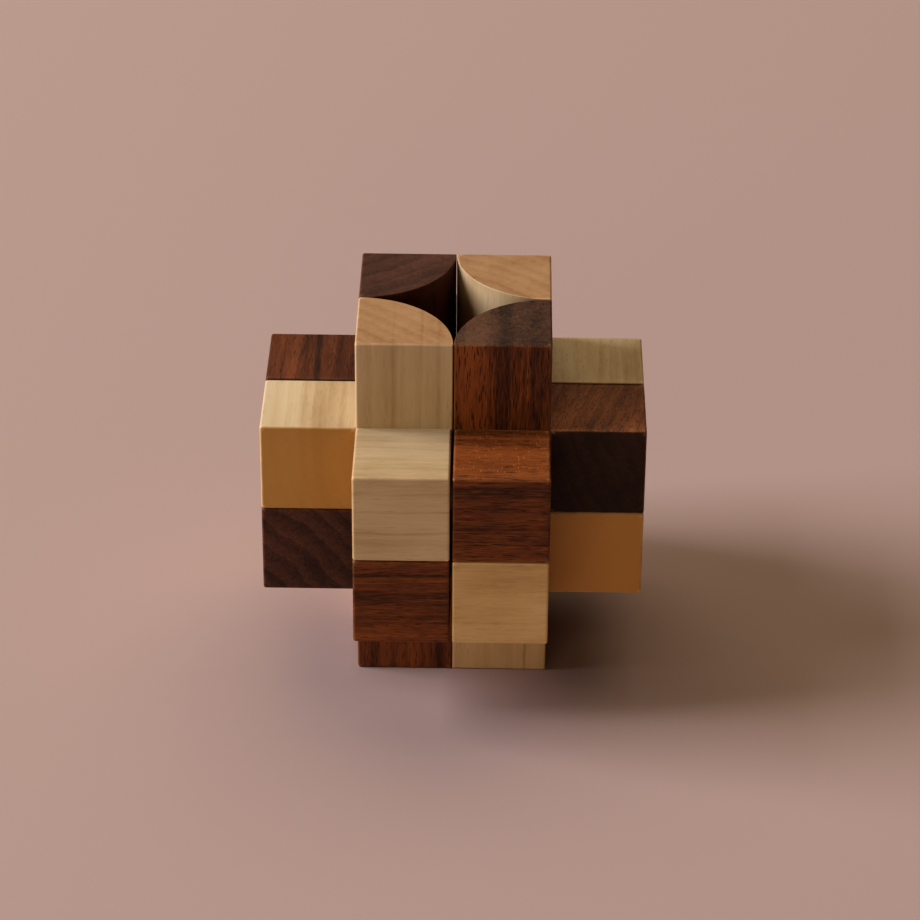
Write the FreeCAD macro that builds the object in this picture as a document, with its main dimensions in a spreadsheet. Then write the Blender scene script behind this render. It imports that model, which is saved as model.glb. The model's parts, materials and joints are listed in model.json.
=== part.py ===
# Wooden cross puzzle. Eight identical corner pieces, four of pale wood and four of dark, stand round a
# star-shaped well that runs from top to bottom. A corner piece is a quarter-round post with two square arm
# blocks glued to its flat faces. Twelve hidden dowels pin the corner pieces to their neighbours, and each
# half of the cross draws straight off the other half along its dowels.
# Millimetres. The origin is on the table under the middle of the well, +X right, +Y to the rear, +Z up.

import FreeCAD
import Part
import Sketcher
import math
import os

# Driving dimensions, each set by itself.
DIMENSIONS = {
    "post_width": 20.0,  # side of a post, which is also the radius of its round inner corner
    "post_rise": 20.0,  # how far a post stands past its arm blocks
    "block_height": 20.0,  # arm block, along the post
    "block_reach": 20.0,  # arm block, out from the post
    "seam_gap": 0.5,  # looseness between corner pieces that stand side by side
    "edge_round": 0.5,  # sanded edges
    "dowel_diameter": 6.0,
    "dowel_length": 30.0,
    "dowel_slip": 0.05,  # radial clearance of a dowel in its socket
    "socket_spare": 0.5,  # depth left past the end of a dowel
    "socket_inset": 8.5,  # middle of a post's socket, in from each flat face
}
SHEET = "Dimensions"
STEP_FOLDER = "parts"

# Sizes and places that follow from the driving dimensions.
POST_LENGTH = f"({SHEET}.block_height + {SHEET}.post_rise)"
HALF_GAP = f"({SHEET}.seam_gap / 2)"
POST_FACE = f"({HALF_GAP} + {SHEET}.post_width)"
POST_SOCKET = f"({POST_FACE} - {SHEET}.socket_inset)"
BLOCK_MIDDLE = f"({POST_FACE} + {SHEET}.block_reach / 2)"
HALF_BLOCK = f"({SHEET}.block_height / 2)"
SOCKET_DIAMETER = f"({SHEET}.dowel_diameter + 2 * {SHEET}.dowel_slip)"
POST_SOCKET_DEPTH = f"({SHEET}.dowel_length / 2 + {SHEET}.socket_spare)"
BLOCK_SOCKET_DEPTH = f"({POST_SOCKET_DEPTH} - {HALF_GAP})"

# The two ways to go along each axis from the middle of the cross.
SIDES = {"left": -1, "right": 1}
DEPTHS = {"front": -1, "rear": 1}
LEVELS = {"bottom": -1, "top": 1}

X_AXIS = FreeCAD.Vector(1, 0, 0)
Y_AXIS = FreeCAD.Vector(0, 1, 0)
Z_AXIS = FreeCAD.Vector(0, 0, 1)
TOUCHING = 1e-6

doc = FreeCAD.newDocument("CrossPuzzle")
sub_parts = []


def make_sheet():
    sheet = doc.addObject("Spreadsheet::Sheet", SHEET)
    for row, (name, value) in enumerate(DIMENSIONS.items(), start=1):
        sheet.set(f"A{row}", name)
        sheet.set(f"B{row}", str(value))
        sheet.setAlias(f"B{row}", name)
    doc.recompute()


def make_body(label):
    body = doc.addObject("PartDesign::Body", label)
    body.Label = label
    sub_parts.append(body)
    return body


def place(body, x, y, z, x_axis, z_axis):
    """Stands a body's local axes on the cross. The origin is three expressions on the sheet."""
    body.Placement.Rotation = FreeCAD.Rotation(x_axis, z_axis.cross(x_axis), z_axis)
    for name, expression in zip("xyz", (x, y, z)):
        body.setExpression(f".Placement.Base.{name}", expression)


def make_sketch(body, name, plane_role, raised=None):
    """An empty sketch on one of the body's own origin planes, lifted off it where raised gives a height."""
    sketch = body.newObject("Sketcher::SketchObject", f"{body.Name}_{name}")
    plane = next(feature for feature in body.Origin.OriginFeatures if feature.Role == plane_role)
    sketch.AttachmentSupport = [(plane, "")]
    sketch.MapMode = "FlatFace"
    if raised:
        sketch.setExpression(".AttachmentOffset.Base.z", raised)
    return sketch


def tie(sketch, *places):
    sketch.addConstraint(Sketcher.Constraint(*places))


def measure(sketch, name, expression, *places):
    """A dimension on a sketch, named and bound to the sheet."""
    drawn_at = doc.getObject(SHEET).evalExpression(expression)
    index = sketch.addConstraint(Sketcher.Constraint(*places, drawn_at))
    sketch.renameConstraint(index, name)
    sketch.setExpression(f"Constraints.{name}", expression)


def quarter_round(sketch):
    """A post's section: two flats that meet on the outer corner, closed by an arc centred on that corner."""
    width = doc.getObject(SHEET).post_width
    corner = FreeCAD.Vector(width, width)
    on_x = FreeCAD.Vector(width, 0)
    on_y = FreeCAD.Vector(0, width)
    side, back, arc = sketch.addGeometry([
        Part.LineSegment(on_x, corner),
        Part.LineSegment(corner, on_y),
        Part.ArcOfCircle(Part.Circle(corner, Z_AXIS, width), math.pi, 1.5 * math.pi),
    ])
    tie(sketch, "Coincident", side, 2, back, 1)
    tie(sketch, "Coincident", back, 2, arc, 1)
    tie(sketch, "Coincident", arc, 2, side, 1)
    tie(sketch, "Coincident", arc, 3, side, 2)
    tie(sketch, "Vertical", side)
    tie(sketch, "Horizontal", back)
    tie(sketch, "PointOnObject", side, 1, -1)
    tie(sketch, "PointOnObject", back, 2, -2)
    measure(sketch, "post_width", f"{SHEET}.post_width", "Radius", arc)


def block_square(sketch):
    """An arm block's section: from the seam outwards along x, and centred on its height along y."""
    width = doc.getObject(SHEET).post_width
    half = doc.getObject(SHEET).block_height / 2
    corners = [(0, -half), (width, -half), (width, half), (0, half)]
    points = [FreeCAD.Vector(x, y) for x, y in corners]
    bottom, outer, top, seam = sketch.addGeometry(
        [Part.LineSegment(start, end) for start, end in zip(points, points[1:] + points[:1])]
    )
    for line, following in ((bottom, outer), (outer, top), (top, seam), (seam, bottom)):
        tie(sketch, "Coincident", line, 2, following, 1)
    tie(sketch, "Horizontal", bottom)
    tie(sketch, "Horizontal", top)
    tie(sketch, "Vertical", outer)
    tie(sketch, "PointOnObject", seam, 1, -2)
    tie(sketch, "Symmetric", seam, 1, seam, 2, -1)
    measure(sketch, "post_width", f"{SHEET}.post_width", "DistanceX", bottom, 1, bottom, 2)
    measure(sketch, "block_height", f"{SHEET}.block_height", "DistanceY", outer, 1, outer, 2)


def pad(body, sketch, length):
    feature = body.newObject("PartDesign::Pad", f"{sketch.Name}_pad")
    feature.Profile = sketch
    feature.setExpression("Length", length)
    doc.recompute()
    return feature


def ease_long_edges(body, feature):
    """Sands the edges of a pad that run along its length round."""
    edges = [
        f"Edge{number}"
        for number, edge in enumerate(feature.Shape.Edges, start=1)
        if edge.BoundBox.ZLength > TOUCHING
    ]
    rounds = body.newObject("PartDesign::Fillet", f"{body.Name}_long_edges")
    rounds.Base = (feature, edges)
    rounds.setExpression("Radius", f"{SHEET}.edge_round")
    doc.recompute()


def ease_end_edges(body, plane_role, end, corners):
    """Sands straight edges round an end, with one pass right along each, so that the passes meet in mitres.

    The edges are square to an origin plane. A corner there is its place across the plane and the way it faces.
    """
    sketch = make_sketch(body, f"end_edges_{plane_role[:2]}", plane_role)
    values = doc.getObject(SHEET)
    radius = values.edge_round
    for number, (across, way) in enumerate(corners):
        tip = FreeCAD.Vector(values.evalExpression(across), values.evalExpression(end))
        on_end = tip - FreeCAD.Vector(way * radius, 0)
        on_side = tip - FreeCAD.Vector(0, radius)
        centre = tip - FreeCAD.Vector(way * radius, radius)
        first_angle, arc_end, arc_side = (0, 2, 1) if way > 0 else (math.pi / 2, 1, 2)
        quarter = Part.ArcOfCircle(Part.Circle(centre, Z_AXIS, radius), first_angle, first_angle + math.pi / 2)
        top, side, arc = sketch.addGeometry(
            [Part.LineSegment(on_end, tip), Part.LineSegment(tip, on_side), quarter]
        )
        tie(sketch, "Coincident", top, 2, side, 1)
        tie(sketch, "Coincident", top, 1, arc, arc_end)
        tie(sketch, "Coincident", side, 2, arc, arc_side)
        tie(sketch, "Horizontal", top)
        tie(sketch, "Vertical", side)
        tie(sketch, "Vertical", arc, 3, arc, arc_end)
        tie(sketch, "Horizontal", arc, 3, arc, arc_side)
        measure(sketch, f"edge_round_{number}", f"{SHEET}.edge_round", "Radius", arc)
        measure(sketch, f"across_{number}", across, "DistanceX", -1, 1, top, 2)
        measure(sketch, f"end_{number}", end, "DistanceY", -1, 1, top, 2)
    cut_through(body, sketch)


def cut_through(body, sketch):
    doc.recompute()
    solid_before = body.Shape.Volume
    cut = body.newObject("PartDesign::Pocket", f"{sketch.Name}_cut")
    cut.Profile = sketch
    cut.Type = "ThroughAll"
    cut.SideType = "Symmetric"
    doc.recompute()
    if body.Shape.Volume > solid_before - TOUCHING:
        raise RuntimeError(f"{body.Label}: {sketch.Name} cuts nothing")


def drill_socket(body, plane_role, depth, across, up):
    """A blind hole for a dowel, square to one of the body's origin planes."""
    sketch = make_sketch(body, "socket_mark", plane_role)
    values = doc.getObject(SHEET)
    centre = FreeCAD.Vector(values.evalExpression(across), values.evalExpression(up))
    mark, = sketch.addGeometry([Part.Circle(centre, Z_AXIS, values.evalExpression(SOCKET_DIAMETER) / 2)])
    measure(sketch, "across", across, "DistanceX", -1, 1, mark, 3)
    measure(sketch, "up", up, "DistanceY", -1, 1, mark, 3)
    measure(sketch, "socket_diameter", SOCKET_DIAMETER, "Diameter", mark)
    doc.recompute()
    solid_before = body.Shape.Volume
    hole = body.newObject("PartDesign::Hole", f"{body.Name}_socket")
    hole.Profile = sketch
    doc.recompute()
    hole.Reversed = True
    hole.DepthType = "Dimension"
    hole.DrillPoint = "Flat"
    hole.setExpression("Diameter", SOCKET_DIAMETER)
    hole.setExpression("Depth", depth)
    doc.recompute()
    if body.Shape.Volume > solid_before - TOUCHING:
        raise RuntimeError(f"{body.Label}: the socket cuts nothing")


def make_post(corner, side, depth, level):
    """Quarter-round post. Its seam face is at local z 0, and its bare end stands past the arm blocks."""
    body = make_body(f"{corner}_post")
    bare_end = make_sketch(body, "bare_end", "XY_Plane", f"{SHEET}.block_height")
    quarter_round(bare_end)
    ease_long_edges(body, pad(body, bare_end, f"{SHEET}.post_rise"))
    for plane_role in ("XZ_Plane", "YZ_Plane"):
        ease_end_edges(body, plane_role, POST_LENGTH, [(f"{SHEET}.post_width", 1)])
    glued_end = make_sketch(body, "glued_end", "XY_Plane")
    quarter_round(glued_end)
    pad(body, glued_end, f"{SHEET}.block_height")
    inset = f"({SHEET}.post_width - {SHEET}.socket_inset)"
    drill_socket(body, "XY_Plane", POST_SOCKET_DEPTH, inset, inset)
    x_axis = X_AXIS * side if side * depth == level else Y_AXIS * depth
    place(body, f"{side} * {HALF_GAP}", f"{depth} * {HALF_GAP}", POST_LENGTH, x_axis, Z_AXIS * level)


def make_block(label, x, y, level, from_seam, outwards):
    """Arm block. It is glued to a flat of its post at local z 0, and its seam face is at local x 0."""
    body = make_body(label)
    section = make_sketch(body, "section", "XY_Plane")
    block_square(section)
    ease_long_edges(body, pad(body, section, f"{SHEET}.block_reach"))
    reach = f"{SHEET}.block_reach"
    ease_end_edges(body, "XZ_Plane", reach, [("0", -1), (f"{SHEET}.post_width", 1)])
    ease_end_edges(body, "YZ_Plane", reach, [(f"-{HALF_BLOCK}", -1), (HALF_BLOCK, 1)])
    drill_socket(body, "YZ_Plane", BLOCK_SOCKET_DEPTH, "0", f"{SHEET}.block_reach / 2")
    place(body, x, y, f"{POST_LENGTH} + {level} * {HALF_BLOCK}", from_seam, outwards)


def make_dowel(label, x, y, z, x_axis, along):
    """Dowel pin, half of it in each of the two pieces that it joins."""
    body = make_body(label)
    section = make_sketch(body, "section", "XY_Plane")
    radius = doc.getObject(SHEET).dowel_diameter / 2
    circle, = section.addGeometry([Part.Circle(FreeCAD.Vector(), Z_AXIS, radius)])
    tie(section, "Coincident", circle, 3, -1, 1)
    measure(section, "dowel_diameter", f"{SHEET}.dowel_diameter", "Diameter", circle)
    pad(body, section, f"{SHEET}.dowel_length").SideType = "Symmetric"
    place(body, x, y, z, x_axis, along)


def make_corner_pieces():
    for depth_name, depth in DEPTHS.items():
        for side_name, side in SIDES.items():
            for level_name, level in LEVELS.items():
                corner = f"{depth_name}_{side_name}_{level_name}"
                make_post(corner, side, depth, level)
                make_block(
                    f"{corner}_{side_name}_block", f"{side} * {POST_FACE}", f"{depth} * {HALF_GAP}", level,
                    Y_AXIS * depth, X_AXIS * side,
                )
                make_block(
                    f"{corner}_{depth_name}_block", f"{side} * {HALF_GAP}", f"{depth} * {POST_FACE}", level,
                    X_AXIS * side, Y_AXIS * depth,
                )


def make_dowels():
    for level_name, level in LEVELS.items():
        height = f"{POST_LENGTH} + {level} * {HALF_BLOCK}"
        for depth_name, depth in DEPTHS.items():
            make_dowel(
                f"{depth_name}_{level_name}_dowel", "0", f"{depth} * {BLOCK_MIDDLE}", height, Y_AXIS, X_AXIS,
            )
        for side_name, side in SIDES.items():
            make_dowel(
                f"{side_name}_{level_name}_dowel", f"{side} * {BLOCK_MIDDLE}", "0", height, Z_AXIS, Y_AXIS,
            )
    for depth_name, depth in DEPTHS.items():
        for side_name, side in SIDES.items():
            make_dowel(
                f"{depth_name}_{side_name}_post_dowel", f"{side} * {POST_SOCKET}", f"{depth} * {POST_SOCKET}",
                POST_LENGTH, X_AXIS, Z_AXIS,
            )


def check_and_write():
    doc.recompute()
    for item in doc.Objects:
        if "Invalid" in item.State or "Error" in item.State:
            raise RuntimeError(f"{item.Name} failed: {item.State}")
    for body in sub_parts:
        if body.Shape.isNull() or not body.Shape.isValid():
            raise RuntimeError(f"{body.Label} has no valid shape")
    os.makedirs(STEP_FOLDER, exist_ok=True)
    for body in sub_parts:
        body.Shape.exportStep(os.path.join(STEP_FOLDER, f"{body.Label}.step"))
    print(f"{len(sub_parts)} sub-parts written")


make_sheet()
make_corner_pieces()
make_dowels()
check_and_write()
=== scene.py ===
import json
import math

import bmesh
import bpy
from mathutils import Matrix, Vector


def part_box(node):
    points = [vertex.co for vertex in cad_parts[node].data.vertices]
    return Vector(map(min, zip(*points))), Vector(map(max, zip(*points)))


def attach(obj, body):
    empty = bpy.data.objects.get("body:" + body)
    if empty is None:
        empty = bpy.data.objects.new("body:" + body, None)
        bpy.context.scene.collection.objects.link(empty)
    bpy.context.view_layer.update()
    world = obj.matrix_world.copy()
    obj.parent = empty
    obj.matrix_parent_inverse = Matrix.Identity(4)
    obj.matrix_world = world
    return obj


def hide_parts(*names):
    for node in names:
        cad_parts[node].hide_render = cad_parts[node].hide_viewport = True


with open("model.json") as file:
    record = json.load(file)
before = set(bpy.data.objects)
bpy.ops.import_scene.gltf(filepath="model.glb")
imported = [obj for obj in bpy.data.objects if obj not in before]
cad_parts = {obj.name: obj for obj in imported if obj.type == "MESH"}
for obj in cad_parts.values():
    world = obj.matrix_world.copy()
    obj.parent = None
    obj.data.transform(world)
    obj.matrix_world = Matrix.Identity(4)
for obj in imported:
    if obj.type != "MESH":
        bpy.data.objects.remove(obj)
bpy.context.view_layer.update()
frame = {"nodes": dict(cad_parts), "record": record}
print("frame loaded:", len(frame["nodes"]), "nodes")


# Small helpers for working as by hand

bench = {
    "touch": 2e-5,  # a point this near a face lies on it
    "mouthTouch": 5e-5,
    "weld": 1e-6,
    "drillSteps": 64,
    "mouthSteps": 2,
    "smoothAngle": 35,
}


def deselectAll():
    bpy.ops.object.select_all(action="DESELECT")


def makeActive(piece):
    deselectAll()
    piece.select_set(True)
    bpy.context.view_layer.objects.active = piece


def pickEdges(piece, wanted):
    bpy.ops.mesh.select_mode(type="EDGE")
    bpy.ops.mesh.select_all(action="DESELECT")
    shape = bmesh.from_edit_mesh(piece.data)
    for edge in shape.edges:
        edge.select_set(wanted(edge))
    bmesh.update_edit_mesh(piece.data)


def allOn(edge, test):
    return all(test(vertex.co) for vertex in edge.verts)


def near(value, wanted):
    return abs(value - wanted) < bench["touch"]


def drillSocket(piece, mouth, turn, bit):
    deselectAll()
    bpy.ops.mesh.primitive_cylinder_add(
        vertices=bench["drillSteps"], radius=bit["radius"], depth=2 * bit["depth"], location=mouth,
        rotation=turn,
    )
    drill = bpy.context.object
    makeActive(piece)
    bpy.ops.object.modifier_add(type="BOOLEAN")
    cut = piece.modifiers[-1]
    cut.operation = "DIFFERENCE"
    cut.solver = "EXACT"
    cut.object = drill
    bpy.ops.object.modifier_apply(modifier=cut.name)
    bpy.data.objects.remove(drill)


def breakMouth(piece, mouth, axis, bit):
    bpy.ops.object.mode_set(mode="EDIT")

    def onMouth(point):
        away = point - mouth
        return near(away[axis], 0) and abs(away.length - bit["radius"]) < bench["mouthTouch"]

    pickEdges(piece, lambda edge: allOn(edge, onMouth))
    bpy.ops.mesh.bevel(offset=bit["mouthBreak"], segments=bench["mouthSteps"], affect="EDGES")
    bpy.ops.object.mode_set(mode="OBJECT")


def smoothPiece(piece):
    makeActive(piece)
    bpy.ops.object.shade_smooth_by_angle(angle=math.radians(bench["smoothAngle"]))
    bpy.ops.object.modifier_add(type="WEIGHTED_NORMAL")
    evened = piece.modifiers[-1]
    evened.keep_sharp = True
    bpy.ops.object.modifier_apply(modifier=evened.name)


# Arm block: a sanded cube with one dowel socket, square only where it is glued to its post

armBlock = {
    "first": "front_left_top_front_block",
    "edgeRound": 0.00055,
    "roundSteps": 5,
    "roundProfile": 0.5,
    "socket": {"radius": 0.00305, "depth": 0.01525, "mouthBreak": 0.0002},
}


def makeArmBlock():
    low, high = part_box(armBlock["first"])
    middle = (low + high) / 2
    deselectAll()
    bpy.ops.mesh.primitive_cube_add(size=1, location=middle, scale=high - low)
    block = bpy.context.object
    block.name = "armBlockMaster"
    bpy.ops.object.transform_apply(location=True, rotation=True, scale=True)
    bpy.ops.object.mode_set(mode="EDIT")
    pickEdges(block, lambda edge: not allOn(edge, lambda point: near(point.y, high.y)))
    bpy.ops.mesh.bevel(
        offset=armBlock["edgeRound"], segments=armBlock["roundSteps"], profile=armBlock["roundProfile"],
        affect="EDGES",
    )
    bpy.ops.object.mode_set(mode="OBJECT")
    mouth = Vector((high.x, middle.y, middle.z))
    drillSocket(block, mouth, (0, math.pi / 2, 0), armBlock["socket"])
    breakMouth(block, mouth, 0, armBlock["socket"])
    smoothPiece(block)
    return block, middle


# Post: a quarter of a round bar, its round side inwards, with one dowel socket in its seam end

cornerPost = {
    "first": "front_left_top_post",
    "barSteps": 224,
    "seamSwell": 0.00019,  # the sanded round side stands this far into the seam
    "edgeRound": 0.0005,
    "roundSteps": 5,
    "arcBreak": 0.35,  # share of the round that the curved edges get
    "leastUpright": 0.001,  # an edge that rises more than this stands upright
    "socketInset": 0.0085,
    "socket": {"radius": 0.00305, "depth": 0.0155, "mouthBreak": 0.0002},
}


def makePost():
    low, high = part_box(cornerPost["first"])
    middle = (low + high) / 2
    deselectAll()
    bpy.ops.mesh.primitive_cylinder_add(
        vertices=cornerPost["barSteps"], radius=high.x - low.x + cornerPost["seamSwell"],
        depth=high.z - low.z, location=(low.x, low.y, middle.z),
    )
    post = bpy.context.object
    post.name = "cornerPostMaster"
    bpy.ops.object.transform_apply(location=True, rotation=True, scale=True)
    bpy.ops.object.mode_set(mode="EDIT")
    for sawCut in ((1, 0, 0), (0, 1, 0)):
        bpy.ops.mesh.select_all(action="SELECT")
        bpy.ops.mesh.bisect(
            plane_co=(low.x, low.y, middle.z), plane_no=sawCut, use_fill=True, clear_inner=True,
            threshold=bench["weld"],
        )
    bpy.ops.mesh.select_all(action="SELECT")
    bpy.ops.mesh.remove_doubles(threshold=bench["weld"])
    bpy.ops.mesh.normals_make_consistent(inside=False)

    def onFlat(point):
        return near(point.x, low.x) or near(point.y, low.y)

    def alongFlat(edge):
        onSide = allOn(edge, lambda point: near(point.x, low.x))
        onFront = allOn(edge, lambda point: near(point.y, low.y))
        return onSide or onFront

    def onBareEnd(edge):
        return allOn(edge, lambda point: near(point.z, high.z))

    def onSeamEnd(edge):
        return allOn(edge, lambda point: near(point.z, low.z))

    def isUpright(edge):
        ends = [vertex.co for vertex in edge.verts]
        rises = abs(ends[0].z - ends[1].z) > cornerPost["leastUpright"]
        return rises and all(onFlat(point) for point in ends)

    pickEdges(post, lambda edge: isUpright(edge) or (onBareEnd(edge) and alongFlat(edge)))
    bpy.ops.transform.edge_bevelweight(value=1.0)
    pickEdges(post, lambda edge: (onBareEnd(edge) or onSeamEnd(edge)) and not alongFlat(edge))
    bpy.ops.transform.edge_bevelweight(value=cornerPost["arcBreak"])
    bpy.ops.object.mode_set(mode="OBJECT")
    bpy.ops.object.modifier_add(type="BEVEL")
    sanded = post.modifiers[-1]
    sanded.limit_method = "WEIGHT"
    sanded.width = cornerPost["edgeRound"]
    sanded.segments = cornerPost["roundSteps"]
    sanded.use_clamp_overlap = False
    bpy.ops.object.modifier_apply(modifier=sanded.name)
    inset = cornerPost["socketInset"]
    mouth = Vector((low.x + inset, low.y + inset, low.z))
    drillSocket(post, mouth, (0, 0, 0), cornerPost["socket"])
    breakMouth(post, mouth, 2, cornerPost["socket"])
    smoothPiece(post)
    return post, middle


# Dowel: a turned pin with chamfered ends

dowelPin = {
    "first": "front_left_post_dowel",
    "barSteps": 64,
    "chamfer": 0.0007,
    "chamferSteps": 3,
    "chamferProfile": 0.4,
    "firstSeed": 41,
}


def makeDowel():
    low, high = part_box(dowelPin["first"])
    middle = (low + high) / 2
    deselectAll()
    bpy.ops.mesh.primitive_cylinder_add(
        vertices=dowelPin["barSteps"], radius=(high.x - low.x) / 2, depth=high.z - low.z, location=middle
    )
    dowel = bpy.context.object
    dowel.name = "dowelMaster"
    bpy.ops.object.transform_apply(location=True, rotation=True, scale=True)
    bpy.ops.object.mode_set(mode="EDIT")
    pickEdges(
        dowel, lambda edge: allOn(edge, lambda point: near(point.z, low.z))
        or allOn(edge, lambda point: near(point.z, high.z))
    )
    bpy.ops.mesh.bevel(
        offset=dowelPin["chamfer"], segments=dowelPin["chamferSteps"], profile=dowelPin["chamferProfile"],
        affect="EDGES",
    )
    bpy.ops.object.mode_set(mode="OBJECT")
    smoothPiece(dowel)
    return dowel, middle


def copyPiece(master, masterMiddle, node, turn):
    low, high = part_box(node)
    makeActive(master)
    bpy.ops.object.duplicate(linked=False)
    piece = bpy.context.object
    piece.name = node + ".wood"
    piece.data.name = node + ".wood"
    piece.matrix_world = (
        Matrix.Translation((low + high) / 2) @ turn.to_4x4() @ Matrix.Translation(-masterMiddle)
    )
    bpy.ops.object.transform_apply(location=True, rotation=True, scale=True)
    return piece


def turnTo(fromAxes, toAxes):
    def square(pair):
        first, second = (Vector(axis) for axis in pair)
        return Matrix((first, second, first.cross(second))).transposed()

    return square(toAxes) @ square(fromAxes).inverted()


# Wood finishes. Grain space is millimetres from the middle of the block, with the grain along z

def feed(tree, socket, value):
    if isinstance(value, bpy.types.NodeSocket):
        tree.links.new(value, socket)
    else:
        socket.default_value = value


def addNode(tree, kind, settings=None, inputs=None):
    made = tree.nodes.new(kind)
    for name, value in (settings or {}).items():
        setattr(made, name, value)
    for name, value in (inputs or {}).items():
        feed(tree, made.inputs[name], value)
    return made


def work(tree, operation, *values, clamp=False):
    settings = {"operation": operation, "use_clamp": clamp}
    return addNode(tree, "ShaderNodeMath", settings, dict(enumerate(values))).outputs[0]


def vectorWork(tree, operation, *values):
    made = addNode(tree, "ShaderNodeVectorMath", {"operation": operation}, dict(enumerate(values)))
    return made.outputs["Value" if operation in ("LENGTH", "DOT_PRODUCT") else "Vector"]


def ramp(tree, value, start, end, low=0.0, high=1.0):
    made = addNode(
        tree, "ShaderNodeMapRange", {"interpolation_type": "SMOOTHSTEP"},
        {"Value": value, "From Min": start, "From Max": end, "To Min": low, "To Max": high},
    )
    return made.outputs["Result"]


def grainNoise(tree, vector, stretch, detail, roughness=0.5):
    stretched = vectorWork(tree, "MULTIPLY", vector, stretch)
    made = addNode(
        tree, "ShaderNodeTexNoise", {"noise_dimensions": "3D"},
        {"Vector": stretched, "Scale": 1.0, "Detail": detail, "Roughness": roughness},
    )
    return made.outputs["Fac"]


def mixColour(tree, share, first, second, blend="MIX"):
    made = addNode(tree, "ShaderNodeMix", {"data_type": "RGBA", "blend_type": blend, "clamp_factor": True})
    for index, value in ((0, share), (6, first), (7, second)):  # the factor and the two colour sockets
        feed(tree, made.inputs[index], value)
    return made.outputs[2]


def scatter(tree, cells):
    found = addNode(
        tree, "ShaderNodeTexVoronoi", {"voronoi_dimensions": "3D", "feature": "F1"},
        {"Vector": cells, "Scale": 1.0, "Randomness": 1.0},
    )
    chance = addNode(tree, "ShaderNodeSeparateColor", None, {"Color": found.outputs["Color"]})
    return found.outputs["Distance"], chance.outputs


def newGroup(name, inputs, outputs):
    tree = bpy.data.node_groups.new(name, "ShaderNodeTree")
    kinds = {"value": "NodeSocketFloat", "vector": "NodeSocketVector", "colour": "NodeSocketColor"}
    for label, kind, start in inputs:
        socket = tree.interface.new_socket(name=label, in_out="INPUT", socket_type=kinds[kind])
        socket.default_value = start
    for label, kind in outputs:
        tree.interface.new_socket(name=label, in_out="OUTPUT", socket_type=kinds[kind])
    return tree, tree.nodes.new("NodeGroupInput").outputs, tree.nodes.new("NodeGroupOutput").inputs


ringFigure = {
    "drift": (0.09, 0.09, 0.022), "fine": (0.5, 0.5, 0.06), "jitter": 0.7,
    "riseTo": 0.82, "fallFrom": 0.86, "yearScale": 0.7, "yearRoughness": 0.6,
}


def makeGrowthRings():
    tree, given, result = newGroup(
        "growthRings",
        [("Vector", "vector", (0, 0, 0)), ("Shift", "vector", (0, 0, 0)), ("Pith", "vector", (60, 40, 0)),
         ("Spacing", "value", 2.0), ("Wander", "value", 2.0)],
        [("Ring", "value"), ("Year", "value")],
    )
    moved = vectorWork(tree, "ADD", given["Vector"], given["Shift"])
    drift = grainNoise(tree, moved, ringFigure["drift"], 3.0)
    fine = grainNoise(tree, moved, ringFigure["fine"], 2.0)
    sway = work(tree, "MULTIPLY", work(tree, "SUBTRACT", drift, 0.5), given["Wander"])
    jitter = work(tree, "MULTIPLY", work(tree, "SUBTRACT", fine, 0.5), ringFigure["jitter"])
    fromPith = vectorWork(tree, "SUBTRACT", given["Vector"], given["Pith"])
    fromPith = vectorWork(tree, "MULTIPLY", fromPith, (1, 1, 0))
    radius = work(tree, "ADD", work(tree, "ADD", vectorWork(tree, "LENGTH", fromPith), sway), jitter)
    phase = work(tree, "DIVIDE", radius, given["Spacing"])
    part = work(tree, "FRACT", phase)
    rise = ramp(tree, part, 0.0, ringFigure["riseTo"])
    fall = ramp(tree, part, ringFigure["fallFrom"], 1.0, 1.0, 0.0)
    tree.links.new(work(tree, "MULTIPLY", rise, fall), result["Ring"])
    year = addNode(
        tree, "ShaderNodeTexNoise", {"noise_dimensions": "1D"},
        {"W": phase, "Scale": ringFigure["yearScale"], "Detail": 2.0,
         "Roughness": ringFigure["yearRoughness"]},
    )
    tree.links.new(work(tree, "SUBTRACT", year.outputs["Fac"], 0.5), result["Year"])
    return tree


# Stretch, detail and roughness of each noise
fibreFigure = {
    "Fibre": ((3.6, 3.6, 0.26), 3.0, 0.6),
    "Streak": ((0.9, 0.9, 0.035), 3.0, 0.55),
    "Patch": ((0.11, 0.11, 0.05), 2.0, 0.5),
}


def makeFibres():
    tree, given, result = newGroup(
        "woodFibres",
        [("Vector", "vector", (0, 0, 0)), ("Shift", "vector", (0, 0, 0))],
        [(name, "value") for name in fibreFigure],
    )
    moved = vectorWork(tree, "ADD", given["Vector"], given["Shift"])
    for name, figure in fibreFigure.items():
        tree.links.new(work(tree, "SUBTRACT", grainNoise(tree, moved, *figure), 0.5), result[name])
    return tree


poreFigure = {
    "wobbleScale": 0.35, "wobble": (0.5, 0.5, 0), "leastSize": 0.2, "sizeSpread": 0.28, "edge": (0.45, 1.15),
}


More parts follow.
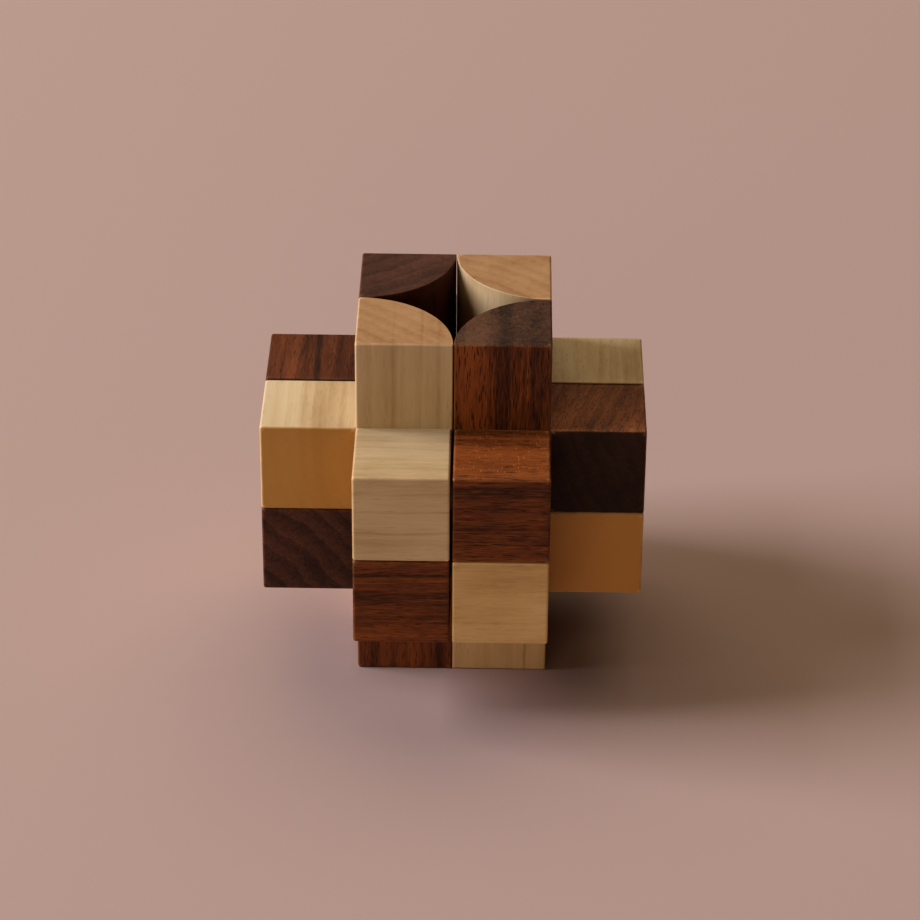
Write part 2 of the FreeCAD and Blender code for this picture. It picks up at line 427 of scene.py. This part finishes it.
def makePores():
    tree, given, result = newGroup(
        "woodPores",
        [("Vector", "vector", (0, 0, 0)), ("Shift", "vector", (0, 0, 0)), ("Width", "value", 0.4),
         ("Length", "value", 9.0), ("Density", "value", 0.5)],
        [("Pores", "value")],
    )
    moved = vectorWork(tree, "ADD", given["Vector"], given["Shift"])
    wobble = addNode(
        tree, "ShaderNodeTexNoise", {"noise_dimensions": "3D"},
        {"Vector": moved, "Scale": poreFigure["wobbleScale"], "Detail": 2.0},
    )
    shake = vectorWork(tree, "SUBTRACT", wobble.outputs["Color"], (0.5, 0.5, 0.5))
    shaken = vectorWork(tree, "ADD", moved, vectorWork(tree, "MULTIPLY", shake, poreFigure["wobble"]))
    length = work(tree, "MULTIPLY", given["Width"], given["Length"])
    cell = addNode(
        tree, "ShaderNodeCombineXYZ", None, {"X": given["Width"], "Y": given["Width"], "Z": length}
    )
    cells = vectorWork(tree, "DIVIDE", shaken, cell.outputs["Vector"])
    distance, chance = scatter(tree, cells)
    present = work(tree, "LESS_THAN", chance["Red"], given["Density"])
    size = work(tree, "MULTIPLY", chance["Green"], poreFigure["sizeSpread"])
    size = work(tree, "ADD", poreFigure["leastSize"], size)
    mark = ramp(tree, work(tree, "DIVIDE", distance, size), *poreFigure["edge"], 1.0, 0.0)
    tree.links.new(work(tree, "MULTIPLY", mark, present), result["Pores"])
    return tree


fleckFigure = {
    "size": (0.6, 1.5, 0.38), "gather": (0.25, 0.25, 0.12), "gatherRange": (0.36, 0.54),
    "edge": (0.15, 0.42),
}


def makeFlecks():
    tree, given, result = newGroup(
        "rayFlecks",
        [("Vector", "vector", (0, 0, 0)), ("Shift", "vector", (0, 0, 0)), ("Density", "value", 0.3),
         ("From", "value", 0.0)],
        [("Flecks", "value")],
    )
    moved = vectorWork(tree, "ADD", given["Vector"], given["Shift"])
    cells = vectorWork(tree, "DIVIDE", moved, fleckFigure["size"])
    distance, chance = scatter(tree, cells)
    present = work(tree, "LESS_THAN", chance["Red"], given["Density"])
    depth = addNode(tree, "ShaderNodeSeparateXYZ", None, {"Vector": given["Vector"]}).outputs["X"]
    present = work(tree, "MULTIPLY", present, work(tree, "GREATER_THAN", depth, given["From"]))
    gather = ramp(tree, grainNoise(tree, moved, fleckFigure["gather"], 2.0), *fleckFigure["gatherRange"])
    mark = ramp(tree, distance, *fleckFigure["edge"], 1.0, 0.0)
    tree.links.new(work(tree, "MULTIPLY", work(tree, "MULTIPLY", mark, present), gather), result["Flecks"])
    return tree


# Streaks are ragged bands across the grain: grain figure, and on one block a band of painted light
streakShape = {
    "start": (7, 3, 5), "drift": (0.12, 0.12, 0.07), "rag": (2.2, 2.2, 0.12),
    "leastRag": 0.45, "ragSpread": 1.1, "edge": (0.25, 1.0),
}


def makeGrainStreakAndPaintedLight():
    tree, given, result = newGroup(
        "grainStreakAndPaintedLight",
        [("Vector", "vector", (0, 0, 0)), ("Across", "vector", (1, 0, 0)), ("Position", "value", 0.0),
         ("Width", "value", 1.0), ("Wander", "value", 1.0)],
        [("Streak", "value")],
    )
    moved = vectorWork(tree, "ADD", given["Vector"], streakShape["start"])
    drift = grainNoise(tree, moved, streakShape["drift"], 3.0)
    rag = grainNoise(tree, given["Vector"], streakShape["rag"], 3.0, 0.6)
    sway = work(tree, "MULTIPLY", work(tree, "SUBTRACT", drift, 0.5), given["Wander"])
    place = work(tree, "ADD", vectorWork(tree, "DOT_PRODUCT", given["Vector"], given["Across"]), sway)
    away = work(tree, "ABSOLUTE", work(tree, "SUBTRACT", place, given["Position"]))
    ragged = work(tree, "MULTIPLY_ADD", rag, streakShape["ragSpread"], streakShape["leastRag"])
    share = work(tree, "DIVIDE", away, work(tree, "MULTIPLY", given["Width"], ragged))
    tree.links.new(ramp(tree, share, *streakShape["edge"], 1.0, 0.0), result["Streak"])
    return tree


wearFigure = {
    "rubScale": 260.0, "rubRange": (0.3, 0.75), "reach": (0.5, 1.5), "edge": (0.15, 1.0),
    "chipReach": (0.0005, 0.0012), "chipRange": (0.42, 0.56), "chipShow": 1.8,
}


def makeEdgeWear():
    tree, given, result = newGroup(
        "edgeWear",
        [("Vector", "vector", (0, 0, 0)), ("Middle", "vector", (0, 0, 0)),
         ("Half", "vector", (0.01, 0.01, 0.01)), ("Width", "value", 0.0006)],
        [("Wear", "value")],
    )
    away = vectorWork(tree, "ABSOLUTE", vectorWork(tree, "SUBTRACT", given["Vector"], given["Middle"]))
    inside = vectorWork(tree, "SUBTRACT", given["Half"], away)
    x, y, z = addNode(tree, "ShaderNodeSeparateXYZ", None, {"Vector": inside}).outputs
    # The second least of the three is the way to the nearest edge
    further = work(tree, "MINIMUM", work(tree, "MAXIMUM", x, y), z)
    edge = work(tree, "MAXIMUM", work(tree, "MINIMUM", x, y), further)
    rub = addNode(
        tree, "ShaderNodeTexNoise", {"noise_dimensions": "3D"},
        {"Vector": given["Vector"], "Scale": wearFigure["rubScale"], "Detail": 3.0, "Roughness": 0.65},
    ).outputs["Fac"]
    spread = ramp(tree, rub, *wearFigure["rubRange"], *wearFigure["reach"])
    reach = work(tree, "MULTIPLY", given["Width"], spread)
    worn = ramp(tree, work(tree, "DIVIDE", edge, reach), *wearFigure["edge"], 1.0, 0.0)
    deepest = work(tree, "MAXIMUM", work(tree, "MAXIMUM", x, y), z)
    corner = ramp(tree, deepest, *wearFigure["chipReach"], 1.0, 0.0)
    chip = work(tree, "MULTIPLY", corner, ramp(tree, rub, *wearFigure["chipRange"]))
    chip = work(tree, "MULTIPLY", chip, wearFigure["chipShow"])
    tree.links.new(work(tree, "MAXIMUM", worn, chip), result["Wear"])
    return tree


surface = {
    "endFacing": (0.5, 0.95),
    "roughness": 0.46,
    "poreDull": 0.2,
    "endDull": 0.06,
    "deepDull": 0.1,
    "toneHeight": 0.3,
    "bumpDepth": 0.0002,
}


def makeEndGrain():
    tree, given, result = newGroup(
        "endGrain",
        [("Normal", "vector", (0, 0, 1)), ("Grain", "vector", (0, 0, 1))],
        [("End", "value")],
    )
    facing = work(tree, "ABSOLUTE", vectorWork(tree, "DOT_PRODUCT", given["Normal"], given["Grain"]))
    tree.links.new(ramp(tree, facing, *surface["endFacing"]), result["End"])
    return tree


def makeWoodColour():
    tree, given, result = newGroup(
        "woodColour",
        [("Tone", "value", 0.5), ("Pores", "value", 0.0), ("Flecks", "value", 0.0), ("Wear", "value", 0.0),
         ("End", "value", 0.0), ("Deep", "colour", (0, 0, 0, 1)), ("Middle", "colour", (0, 0, 0, 1)),
         ("Pale", "colour", (0, 0, 0, 1)), ("Pore Colour", "colour", (0, 0, 0, 1)),
         ("Fleck Colour", "colour", (1, 1, 1, 1)), ("Worn Colour", "colour", (1, 1, 1, 1)),
         ("End Tint", "colour", (1, 1, 1, 1)), ("End Figure", "value", -0.15)],
        [("Colour", "colour"), ("Roughness", "value"), ("Height", "value")],
    )
    show = work(tree, "MULTIPLY_ADD", given["End"], given["End Figure"], 1.0)
    tone = work(tree, "MULTIPLY_ADD", work(tree, "SUBTRACT", given["Tone"], 0.5), show, 0.5)
    lower = work(tree, "MULTIPLY", tone, 2.0, clamp=True)
    upper = work(tree, "SUBTRACT", work(tree, "MULTIPLY", tone, 2.0), 1.0, clamp=True)
    colour = mixColour(tree, lower, given["Deep"], given["Middle"])
    colour = mixColour(tree, upper, colour, given["Pale"])
    tinted = mixColour(tree, 1.0, colour, given["End Tint"], "MULTIPLY")
    colour = mixColour(tree, given["End"], colour, tinted)
    colour = mixColour(tree, given["Flecks"], colour, given["Fleck Colour"])
    pores = work(tree, "MULTIPLY", given["Pores"], show, clamp=True)
    colour = mixColour(tree, pores, colour, given["Pore Colour"])
    colour = mixColour(tree, given["Wear"], colour, given["Worn Colour"])
    tree.links.new(colour, result["Colour"])
    dull = work(tree, "MULTIPLY_ADD", given["Pores"], surface["poreDull"], surface["roughness"])
    dull = work(tree, "MULTIPLY_ADD", given["End"], surface["endDull"], dull)
    deepness = work(tree, "SUBTRACT", 0.5, given["Tone"])
    dull = work(tree, "MULTIPLY_ADD", deepness, surface["deepDull"], dull)
    tree.links.new(dull, result["Roughness"])
    height = work(tree, "MULTIPLY", given["Tone"], surface["toneHeight"])
    tree.links.new(work(tree, "SUBTRACT", height, given["Pores"]), result["Height"])
    return tree


woodGroups = {
    "rings": makeGrowthRings(), "fibres": makeFibres(), "pores": makePores(), "flecks": makeFlecks(),
    "streak": makeGrainStreakAndPaintedLight(), "wear": makeEdgeWear(), "end": makeEndGrain(), "colour": makeWoodColour(),
}
print("wood node groups built:", len(woodGroups))

plainWood = {
    "level": 0.5, "pithAway": 55.0, "endFigure": -0.15, "streaks": (),
    "fleckShow": 0.0, "fleckDensity": 0.3, "fleckFrom": 9.6,
}
paleWood = {
    **plainWood,
    "deep": (0.44, 0.26, 0.12), "middle": (0.60, 0.40, 0.22), "pale": (0.70, 0.51, 0.32),
    "poreColour": (0.34, 0.19, 0.08), "fleckColour": (0.72, 0.50, 0.30), "wornColour": (0.95, 0.53, 0.27),
    "endShade": "toasted",
    "ring": 0.16, "year": 0.4, "fibre": 0.4, "streak": 0.45, "patch": 0.6,
    "spacing": 2.6, "wander": 3.0,
    "poreWidth": 0.32, "poreLength": 10.0, "poreDensity": 0.16, "poreShow": 0.35,
    "wearWidth": 0.0005, "wearShow": 0.28, "bump": 0.05, "specular": 0.5,
}
darkWood = {
    **plainWood,
    "deep": (0.038, 0.011, 0.006), "middle": (0.115, 0.034, 0.014), "pale": (0.20, 0.062, 0.025),
    "poreColour": (0.016, 0.006, 0.004), "fleckColour": (0.40, 0.16, 0.06), "wornColour": (0.30, 0.15, 0.09),
    "endShade": "smoked",
    "ring": 0.2, "year": 0.4, "fibre": 1.25, "streak": 0.75, "patch": 0.6,
    "spacing": 3.2, "wander": 4.0,
    "poreWidth": 0.32, "poreLength": 11.0, "poreDensity": 0.5, "poreShow": 0.8,
    "wearWidth": 0.0004, "wearShow": 0.16, "bump": 0.12, "specular": 0.25,
}
dowelWood = dict(
    paleWood, deep=(0.46, 0.27, 0.13), middle=(0.60, 0.40, 0.22), pale=(0.70, 0.50, 0.31),
    spacing=1.4, poreDensity=0.3, wearShow=0.0,
)
# What sets one block's figure apart, and on front_right_top_front_block one streak of painted light. Each
# streak is its direction across the grain, place, width, strength and wander
blockLooks = {
    "front_left_top_post": {
        "pithAngle": 230, "pithAway": 90, "spacing": 3.4, "wander": 2.2, "endFigure": 0.5,
        "streaks": [
            (0, 3.6, 0.5, -0.16, 0.7), (0, 7.2, 0.6, -0.13, 0.6), (0, 9.4, 1.2, 0.12, 0.6),
            (0, -2.2, 0.4, -0.1, 0.8),
        ],
    },
    "front_right_top_post": {
        "pithAngle": 140, "pithAway": 70, "level": 0.46, "endFigure": -0.1, "streak": 1.3, "fibre": 2.1,
        "poreDensity": 0.66, "poreShow": 0.95, "ring": 0.1,
        "streaks": [
            (0, -5.8, 4.6, 0.48, 0.8), (0, 0.4, 2.2, -0.34, 1.2), (0, 6.8, 2.6, -0.2, 1.0),
            (0, -8.2, 0.5, -0.3, 1.0),
        ],
    },
    "rear_left_top_post": {
        "pithAngle": 126, "pithAway": 80, "spacing": 4.0, "ring": 0.2, "fibre": 0.7, "endFigure": -0.1,
    },
    "rear_right_top_post": {
        "pithAngle": 235, "pithAway": 80, "spacing": 3.2, "ring": 0.16, "endFigure": 0.6,
    },
    "front_left_top_front_block": {
        "pithAngle": 75, "pithAway": 60, "spacing": 3.6, "wander": 4.5, "ring": 0.16, "fibre": 0.6,
        "patch": 1.0,
        "streaks": [
            (0, 6.2, 0.5, -0.2, 1.5), (0, 1.9, 0.4, -0.24, 1.4), (0, -3.2, 0.45, -0.26, 2.6),
        ],
    },
    "front_right_top_front_block": {
        "pithAngle": 20, "pithAway": 45, "level": 0.44, "fleckShow": 0.75, "fleckDensity": 0.7,
        "fibre": 2.0,
        "streaks": [
            (90, 6.6, 0.8, 0.42, 0.8), (90, 8.6, 1.2, -0.3, 0.8), (90, 3.8, 0.8, -0.22, 0.8),
            (90, -3.0, 4.5, 0.12, 1.0), (0, 6.8, 3.4, -0.26, 0.8), (0, -8.2, 3.0, 0.22, 0.8),
            # this last streak lies on the top face alone: painted light that makes the top lighter than the
            # front
            (0, 10.0, 0.9, 0.32, 0.2),
        ],
    },
    "front_left_bottom_front_block": {
        "pithAngle": 10, "pithAway": 70, "level": 0.54, "fibre": 1.6,
        "streaks": [
            (0, 1.6, 1.5, -0.42, 2.0), (0, 6.6, 0.6, -0.26, 1.6), (0, -5.0, 0.5, -0.24, 1.4),
            (0, -8.0, 2.0, 0.14, 1.0),
        ],
    },
    "front_right_bottom_front_block": {
        "pithAngle": 80, "pithAway": 50, "spacing": 5.0, "ring": 0.12, "patch": 1.2, "fibre": 0.7,
        "poreDensity": 0.3,
    },
    "front_left_bottom_post": {
        "pithAngle": 190, "pithAway": 60, "streak": 0.8,
        "streaks": [
            (0, -6.6, 1.0, -0.34, 0.6), (0, 8.0, 1.6, -0.36, 0.6), (0, 1.2, 3.0, 0.12, 0.8),
        ],
    },
    "front_right_bottom_post": {
        "pithAngle": 185, "pithAway": 80, "spacing": 6.0, "ring": 0.06, "streak": 0.25,
        "streaks": [
            (0, 5.4, 0.5, -0.42, 0.5), (0, 3.4, 0.35, 0.12, 0.4), (0, 7.6, 1.8, 0.1, 0.4),
        ],
    },
    "front_left_top_left_block": {
        "endFigure": -0.7, "pithAngle": 350, "pithAway": 60, "spacing": 2.8, "ring": 0.1, "streak": 0.55,
        "streaks": [
            (0, -7.0, 6.0, 0.34, 1.0), (0, -1.0, 1.2, -0.14, 1.4), (0, 4.4, 5.0, -0.34, 1.4),
        ],
    },
    "rear_left_top_left_block": {
        "pithAngle": 20, "pithAway": 60, "poreDensity": 0.3,
        "streaks": [
            (0, 0.8, 1.0, -0.36, 2.2), (0, -4.6, 2.4, 0.26, 2.0), (0, 6.0, 1.4, -0.2, 2.0),
        ],
    },
    "front_right_top_right_block": {
        "pithAngle": 340, "pithAway": 60, "tilt": -15, "poreDensity": 0.8, "poreWidth": 0.27,
        "poreLength": 5.0, "patch": 1.2,
    },
    "rear_right_top_right_block": {
        "pithAngle": 10, "pithAway": 60, "poreDensity": 0.42, "poreWidth": 0.5, "poreLength": 5.0,
        "poreShow": 0.32, "patch": 1.4,
    },
    "front_left_bottom_left_block": {
        "pithAngle": 135, "pithAway": 110, "spacing": 4.2, "wander": 6.0, "ring": 0.35, "endFigure": 0.0,
    },
    "front_right_bottom_right_block": {
        "endFigure": -0.7, "pithAngle": 20, "spacing": 5.0, "ring": 0.03, "fibre": 0.1, "streak": 0.1,
        "patch": 0.4,
    },
}
# Shades of wood: each is a share of the wood's own red, green and blue
woodShades = {
    "plain": (1.0, 1.0, 1.0),
    "cream": (0.95, 1.05, 1.15),
    "straw": (1.1, 1.1, 0.95),
    "russet": (1.45, 1.4, 0.9),
    "walnut": (2.0, 2.4, 2.6),
    "toasted": (0.8, 0.62, 0.4),
    "tan": (0.7, 0.52, 0.42),
    "honey": (0.9, 0.65, 0.28),
    "smoked": (0.5, 0.62, 0.8),
    "cocoa": (0.75, 1.0, 1.6),
    "plum": (0.5, 0.8, 1.8),
    # near black: partly dark end grain, partly painted shade on the front end of front_right_top_right_block
    "ebonyAndPaintedShade": (0.14, 0.13, 0.14),
}
# Shade of each block that isn't plain: along the grain, then across its ends
blockShades = {
    "front_left_top_post": ("cream", "tan"),
    "front_right_top_post": ("russet", "plum"),
    "rear_left_top_post": ("plain", "cocoa"),
    "rear_right_top_post": ("cream", "tan"),
    "front_left_bottom_post": ("russet", "smoked"),
    "front_left_top_front_block": ("cream", "toasted"),
    "front_right_top_front_block": ("russet", "smoked"),
    "front_left_bottom_front_block": ("russet", "smoked"),
    "front_right_bottom_front_block": ("straw", "toasted"),
    "front_left_top_left_block": ("cream", "honey"),
    # its front end is near black: partly dark end grain, partly painted shade
    "front_right_top_right_block": ("walnut", "ebonyAndPaintedShade"),
    "rear_right_top_right_block": ("cream", "toasted"),
    "front_left_bottom_left_block": ("plain", "cocoa"),
    "front_right_bottom_right_block": ("plain", "honey"),
}
# Turn of the grain space and direction of the grain
grainTurns = {
    "x": ((0, math.pi / 2, 0), (1, 0, 0)),
    "y": ((math.pi / 2, 0, 0), (0, 1, 0)),
    "z": ((0, 0, 0), (0, 0, 1)),
}
grainSpace = {
    "scale": (1000, 1000, 1000),
    "shiftSteps": (37.1, 53.7, 71.3),  # these two set the figure of each block apart
    "pithStep": 47,
    "ringLift": 0.4,
    "brightest": 0.9,
}
colourSockets = {
    "Deep": "deep", "Middle": "middle", "Pale": "pale", "Pore Colour": "poreColour",
    "Fleck Colour": "fleckColour", "Worn Colour": "wornColour",
}


def makeWood(node, grain, look, seed):
    low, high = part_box(node)
    middle = (low + high) / 2
    material = bpy.data.materials.new(node + ".finish")
    material.use_nodes = True
    tree = material.node_tree
    shader = tree.nodes["Principled BSDF"]
    place = addNode(tree, "ShaderNodeTexCoord")
    turn, axis = grainTurns[grain]
    turned = Matrix.LocRotScale(None, None, grainSpace["scale"])
    for index, letter in enumerate("XYZ"):
        turned = Matrix.Rotation(turn[index], 4, letter) @ turned
    mapping = addNode(
        tree, "ShaderNodeMapping", {"vector_type": "POINT"},
        {"Vector": place.outputs["Object"], "Location": -(turned @ middle), "Rotation": turn,
         "Scale": grainSpace["scale"]},
    )
    vector = mapping.outputs["Vector"]
    if "tilt" in look:
        vector = addNode(
            tree, "ShaderNodeMapping", {"vector_type": "POINT"},
            {"Vector": vector, "Rotation": (0, math.radians(look["tilt"]), 0)},
        ).outputs["Vector"]
    shift = tuple(seed * step for step in grainSpace["shiftSteps"])

    def useGroup(name, inputs):
        return addNode(tree, "ShaderNodeGroup", {"node_tree": woodGroups[name]}, inputs).outputs

    angle = math.radians(look.get("pithAngle", seed * grainSpace["pithStep"] % 360))
    pith = (look["pithAway"] * math.cos(angle), look["pithAway"] * math.sin(angle), 0)
    rings = useGroup("rings", {
        "Vector": vector, "Shift": shift, "Pith": pith, "Spacing": look["spacing"],
        "Wander": look["wander"],
    })
    fibres = useGroup("fibres", {"Vector": vector, "Shift": shift})
    level = look["level"] + grainSpace["ringLift"] * look["ring"]
    tone = work(tree, "MULTIPLY_ADD", rings["Ring"], -look["ring"], level)
    for socket, share in (
        (rings["Year"], look["year"]), (fibres["Fibre"], look["fibre"]),
        (fibres["Streak"], look["streak"]), (fibres["Patch"], look["patch"]),
    ):
        tone = work(tree, "MULTIPLY_ADD", socket, share, tone)
    for degrees, position, width, strength, wander in look["streaks"]:
        across = (math.cos(math.radians(degrees)), math.sin(math.radians(degrees)), 0)
        mask = useGroup("streak", {
            "Vector": vector, "Across": across, "Position": position, "Width": width, "Wander": wander,
        })["Streak"]
        tone = work(tree, "MULTIPLY_ADD", mask, strength, tone)
    pores = useGroup("pores", {
        "Vector": vector, "Shift": shift, "Width": look["poreWidth"], "Length": look["poreLength"],
        "Density": look["poreDensity"],
    })["Pores"]
    end = useGroup("end", {"Normal": place.outputs["Normal"], "Grain": axis})["End"]
    wear = useGroup("wear", {
        "Vector": place.outputs["Object"], "Middle": middle, "Half": (high - low) / 2,
        "Width": look["wearWidth"],
    })["Wear"]
    parts = {
        "Tone": tone, "Pores": work(tree, "MULTIPLY", pores, look["poreShow"]), "End": end,
        "Wear": work(tree, "MULTIPLY", wear, look["wearShow"]),
    }
    if look["fleckShow"]:
        flecks = useGroup("flecks", {
            "Vector": vector, "Shift": shift, "Density": look["fleckDensity"], "From": look["fleckFrom"],
        })["Flecks"]
        parts["Flecks"] = work(tree, "MULTIPLY", flecks, look["fleckShow"])
    tint, endTint = (woodShades[shade] for shade in blockShades.get(node, ("plain", look["endShade"])))
    for label, key in colourSockets.items():
        tinted = [min(grainSpace["brightest"], value * share) for value, share in zip(look[key], tint)]
        parts[label] = (*tinted, 1)
    parts["End Tint"] = (*endTint, 1)
    parts["End Figure"] = look["endFigure"]
    colour = useGroup("colour", parts)
    tree.links.new(colour["Colour"], shader.inputs["Base Color"])
    tree.links.new(colour["Roughness"], shader.inputs["Roughness"])
    bump = addNode(tree, "ShaderNodeBump", None, {
        "Strength": look["bump"], "Distance": surface["bumpDepth"], "Height": colour["Height"],
    })
    tree.links.new(bump.outputs["Normal"], shader.inputs["Normal"])
    shader.inputs["Specular IOR Level"].default_value = look["specular"]
    return material


# Put the blocks, posts and dowels together

sides = {"left": -1, "right": 1}
depths = {"front": -1, "rear": 1}
levels = {"bottom": -1, "top": 1}
bodies = frame["record"]["behaviour"]["bodies"]
nodeBody = {node: body for body, nodes in bodies.items() for node in nodes}
finished = []


def finishPiece(piece, node, material):
    piece.data.materials.clear()
    piece.data.materials.append(material)
    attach(piece, nodeBody[node])
    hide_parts(node)
    finished.append(piece)


def makeCorners():
    block, blockMiddle = makeArmBlock()
    post, postMiddle = makePost()
    print("arm block and post modelled")
    seed = 0
    for depthName, depth in depths.items():
        for sideName, side in sides.items():
            for levelName, level in levels.items():
                corner = f"{depthName}_{sideName}_{levelName}"
                isPale = side * depth * level > 0
                wood = paleWood if isPale else darkWood
                flats = [(side, 0, 0), (0, depth, 0)]
                if side * depth != level:  # keeps the turn free of mirroring
                    flats.reverse()
                inward, across = (-side, 0, 0), (0, -depth, 0)
                postTurn = turnTo([(-1, 0, 0), (0, -1, 0)], flats)
                depthTurn = turnTo([(1, 0, 0), (0, 1, 0)], [inward, across])
                sideTurn = turnTo([(1, 0, 0), (0, 1, 0)], [across, inward])
                jobs = [
                    (f"{corner}_post", post, postMiddle, postTurn, "z"),
                    (f"{corner}_{depthName}_block", block, blockMiddle, depthTurn, "x"),
                    (f"{corner}_{sideName}_block", block, blockMiddle, sideTurn, "y"),
                ]
                for node, master, masterMiddle, turn, grain in jobs:
                    seed += 1
                    piece = copyPiece(master, masterMiddle, node, turn)
                    look = {**wood, **blockLooks.get(node, {})}
                    finishPiece(piece, node, makeWood(node, grain, look, seed))
    for master in (block, post):
        bpy.data.objects.remove(master)


def makeDowels():
    dowel, dowelMiddle = makeDowel()
    alongs = {"x": (1, 0, 0), "y": (0, 1, 0), "z": (0, 0, 1)}
    seconds = {"x": (0, 1, 0), "y": (0, 0, 1), "z": (1, 0, 0)}
    jobs = [(f"{depth}_{level}_dowel", "x") for depth in depths for level in levels]
    jobs += [(f"{side}_{level}_dowel", "y") for side in sides for level in levels]
    jobs += [(f"{depth}_{side}_post_dowel", "z") for depth in depths for side in sides]
    for seed, (node, grain) in enumerate(jobs, dowelPin["firstSeed"]):
        turn = turnTo([(0, 0, 1), (1, 0, 0)], [alongs[grain], seconds[grain]])
        piece = copyPiece(dowel, dowelMiddle, node, turn)
        finishPiece(piece, node, makeWood(node, grain, dowelWood, seed))
    bpy.data.objects.remove(dowel)


makeCorners()
makeDowels()
print("pieces finished:", len(finished))


# Floor, light and camera

studio = {
    "floorSize": 6.0,
    "floorColour": (0.47, 0.342, 0.325, 1),
    "floorRoughness": 0.9,
    "floorSpecular": 0.1,
    "lampAim": (0, 0, 0.03),
    "world": (0.30, 0.22, 0.17, 1),
    "worldStrength": 0.02,
}


def wayBack(place):
    turn, rise = math.radians(place["azimuth"]), math.radians(place["elevation"])
    return Vector((math.sin(turn) * math.cos(rise), -math.cos(turn) * math.cos(rise), math.sin(rise)))


def makeFloor():
    deselectAll()
    bpy.ops.mesh.primitive_plane_add(size=studio["floorSize"], location=(0, 0, 0))
    floor = bpy.context.object
    floor.name = "studioFloor"
    bpy.ops.object.transform_apply(location=True, rotation=True, scale=True)
    paper = bpy.data.materials.new("floorPaper")
    paper.use_nodes = True
    shader = paper.node_tree.nodes["Principled BSDF"]
    shader.inputs["Base Color"].default_value = studio["floorColour"]
    shader.inputs["Roughness"].default_value = studio["floorRoughness"]
    shader.inputs["Specular IOR Level"].default_value = studio["floorSpecular"]
    floor.data.materials.append(paper)


lamps = {
    "windowLight": {
        "azimuth": -92, "elevation": 30, "away": 4.0,
        "width": 2.0, "height": 2.6, "power": 184, "colour": (0.99, 0.98, 1.0),
    },
    "rearSoftbox": {
        "azimuth": 176, "elevation": 63, "away": 2.0,
        "width": 2.4, "height": 1.6, "power": 18, "colour": (1.0, 0.84, 0.58),
    },
    "frontFill": {
        "azimuth": -12, "elevation": 13, "away": 2.4,
        "width": 2.0, "height": 0.9, "power": 11, "colour": (1.0, 0.83, 0.54),
    },
}


def makeLamps():
    for name, lamp in lamps.items():
        back = wayBack(lamp)
        bpy.ops.object.light_add(type="AREA", location=Vector(studio["lampAim"]) + back * lamp["away"])
        light = bpy.context.object
        light.name = name
        light.rotation_euler = back.to_track_quat("Z", "Y").to_euler()
        light.data.shape = "RECTANGLE"
        light.data.size = lamp["width"]
        light.data.size_y = lamp["height"]
        light.data.energy = lamp["power"]
        light.data.color = lamp["colour"]
    world = bpy.data.worlds.new("studioWorld")
    world.use_nodes = True
    sky = world.node_tree.nodes["Background"]
    sky.inputs["Color"].default_value = studio["world"]
    sky.inputs["Strength"].default_value = studio["worldStrength"]
    bpy.context.scene.world = world


photoCamera = {
    "target": (0.00124, 0.0, 0.04052),
    "azimuth": 0.705,
    "elevation": 30.836,
    "roll": 0.428,
    "away": 0.7395,
    "lens": 134.35,
    "sensor": 36,
}


def makeCamera():
    turn, roll = math.radians(photoCamera["azimuth"]), math.radians(photoCamera["roll"])
    back = wayBack(photoCamera)
    right = Vector((math.cos(turn), math.sin(turn), 0))
    up = back.cross(right)
    tilted = math.cos(roll) * right + math.sin(roll) * up
    upright = math.cos(roll) * up - math.sin(roll) * right
    spot = Vector(photoCamera["target"]) + back * photoCamera["away"]
    bpy.ops.object.camera_add(location=spot)
    camera = bpy.context.object
    camera.name = "photoCamera"
    facing = Matrix((tilted, upright, back)).transposed()
    camera.matrix_world = Matrix.Translation(spot) @ facing.to_4x4()
    camera.data.sensor_width = photoCamera["sensor"]
    camera.data.lens = photoCamera["lens"]
    bpy.context.scene.camera = camera


makeFloor()
makeLamps()
makeCamera()
bpy.context.scene.view_settings.view_transform = "Standard"
bpy.context.scene.view_settings.look = "Medium High Contrast"
print("floor, lamps and camera placed")
